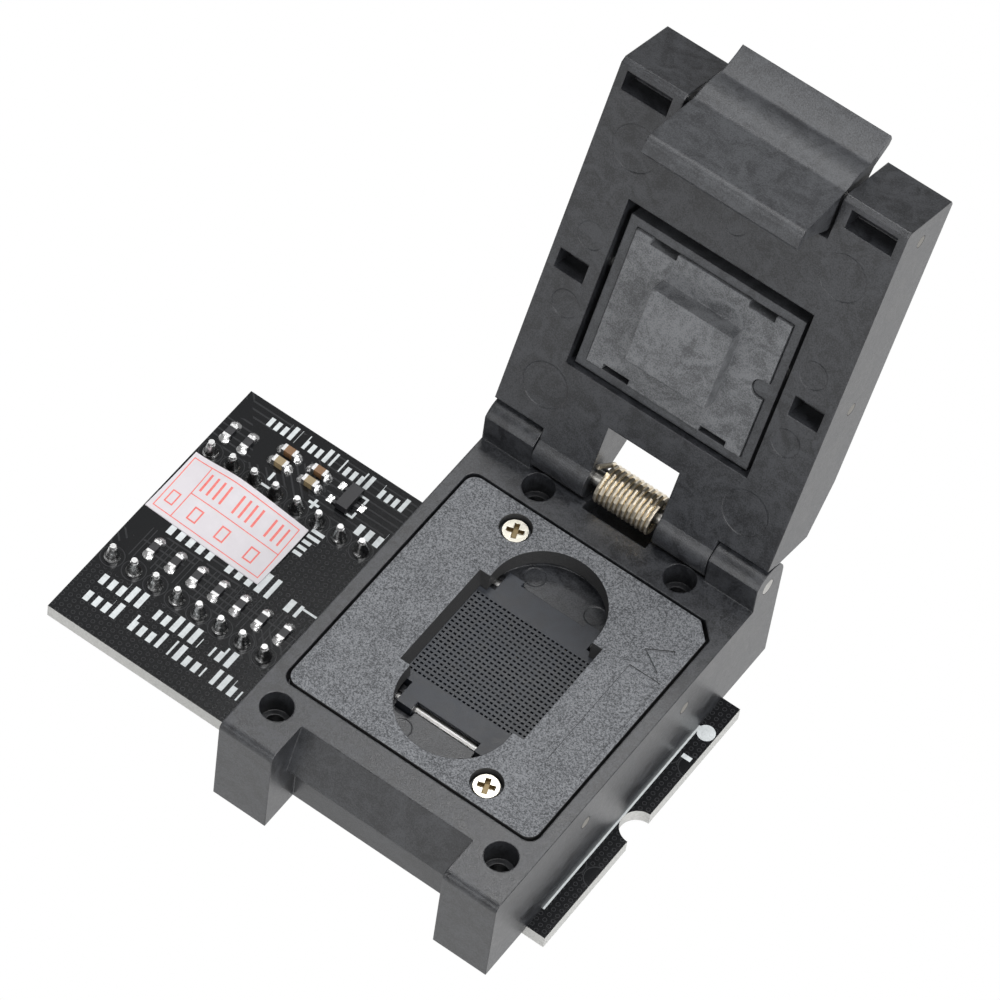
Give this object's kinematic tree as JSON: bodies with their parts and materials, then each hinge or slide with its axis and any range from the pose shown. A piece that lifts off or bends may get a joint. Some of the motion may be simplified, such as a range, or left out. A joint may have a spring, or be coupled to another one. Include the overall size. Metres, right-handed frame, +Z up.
{
  "type": "memory programmer adapter",
  "caption": "Plug-in adapter board with pin rows below and a hinged-lid test socket for ball-grid memory packages on top, lid open.",
  "frame": {"origin": "middle of the two pin rows, on the plane where the pin strips seat in the programmer", "axes": "+X along the board from the pins to the socket, +Y from the latch to the hinge, +Z up, away from the pins"},
  "size_m": [0.0572, 0.0644, 0.0649],
  "materials": {
    "board": "satin solder mask",
    "strip": "satin",
    "pin": "plated",
    "solder": "bright",
    "resistor": "satin",
    "capacitor": "satin",
    "capacitor_brown": "satin",
    "transistor": "satin",
    "paper": "satin",
    "housing": "fine grained",
    "carrier": "satin",
    "block": "satin",
    "spring": "bright",
    "rod": "bright",
    "guide": "fine grained",
    "screw": "plated",
    "pin_steel": "bright",
    "coil": "bright",
    "latch_plastic": "satin",
    "pad": "satin"
  },
  "bodies": {
    "base": {"circuit_board": "board", "header_strip_front": "strip", "header_strip_back": "strip", "header_pins_front": "pin", "header_pins_back": "pin", "solder_joints_front": "solder", "solder_joints_back": "solder", "resistor_1": "resistor", "resistor_2": "resistor", "resistor_3": "resistor", "resistor_4": "resistor", "resistor_5": "resistor", "resistor_6": "resistor", "resistor_7": "resistor", "resistor_8": "resistor", "resistor_9": "resistor", "capacitor_1": "capacitor", "capacitor_2": "capacitor_brown", "capacitor_3": "capacitor", "capacitor_4": "capacitor_brown", "transistor": "transistor", "chip_solder_fillets": "solder", "seal_label": "paper", "base_housing": "housing", "contact_carrier": "carrier", "socket_contacts": "pin", "lift_springs": "spring", "contact_rod_front": "rod", "contact_rod_back": "rod", "guide_plate": "guide", "guide_screw_front": "screw", "guide_screw_back": "screw", "hinge_pin": "pin_steel", "torsion_spring": "coil"},
    "lid": {"lid_cover": "housing", "latch_pin": "rod", "latch_spring": "spring", "pressure_pin": "rod"},
    "latch": {"latch": "latch_plastic"},
    "pressure_plate": {"pressure_frame": "latch_plastic", "pressure_pad": "pad"},
    "contact_block": {"contact_block": "block"}
  },
  "joints": [
    {"name": "lid_hinge", "type": "hinge", "parent": "base", "child": "lid", "pos_m": [0.02955, 0.0203, 0.01765], "axis": [1, 0, 0], "range_deg": [0, 110.7], "stiffness_Nm_per_rad": 0.006, "springref_deg": -28.65},
    {"name": "latch_pivot", "type": "hinge", "parent": "lid", "child": "latch", "pos_m": [0.02955, 0.03639, 0.05428], "axis": [-1, 0, 0], "range_deg": [0, 12], "stiffness_Nm_per_rad": 0.02, "springref_deg": -5.73},
    {"name": "pressure_rock", "type": "hinge", "parent": "lid", "child": "pressure_plate", "pos_m": [0.02955, 0.02978, 0.03566], "axis": [1, 0, 0], "range_deg": [-3, 3]},
    {"name": "contact_block_float", "type": "slide", "parent": "base", "child": "contact_block", "axis": [0, 0, -1], "range_m": [0, 0.0005], "stiffness_N_per_m": 1500, "springref_m": -0.0003, "deforming": ["lift_springs"]}
  ]
}
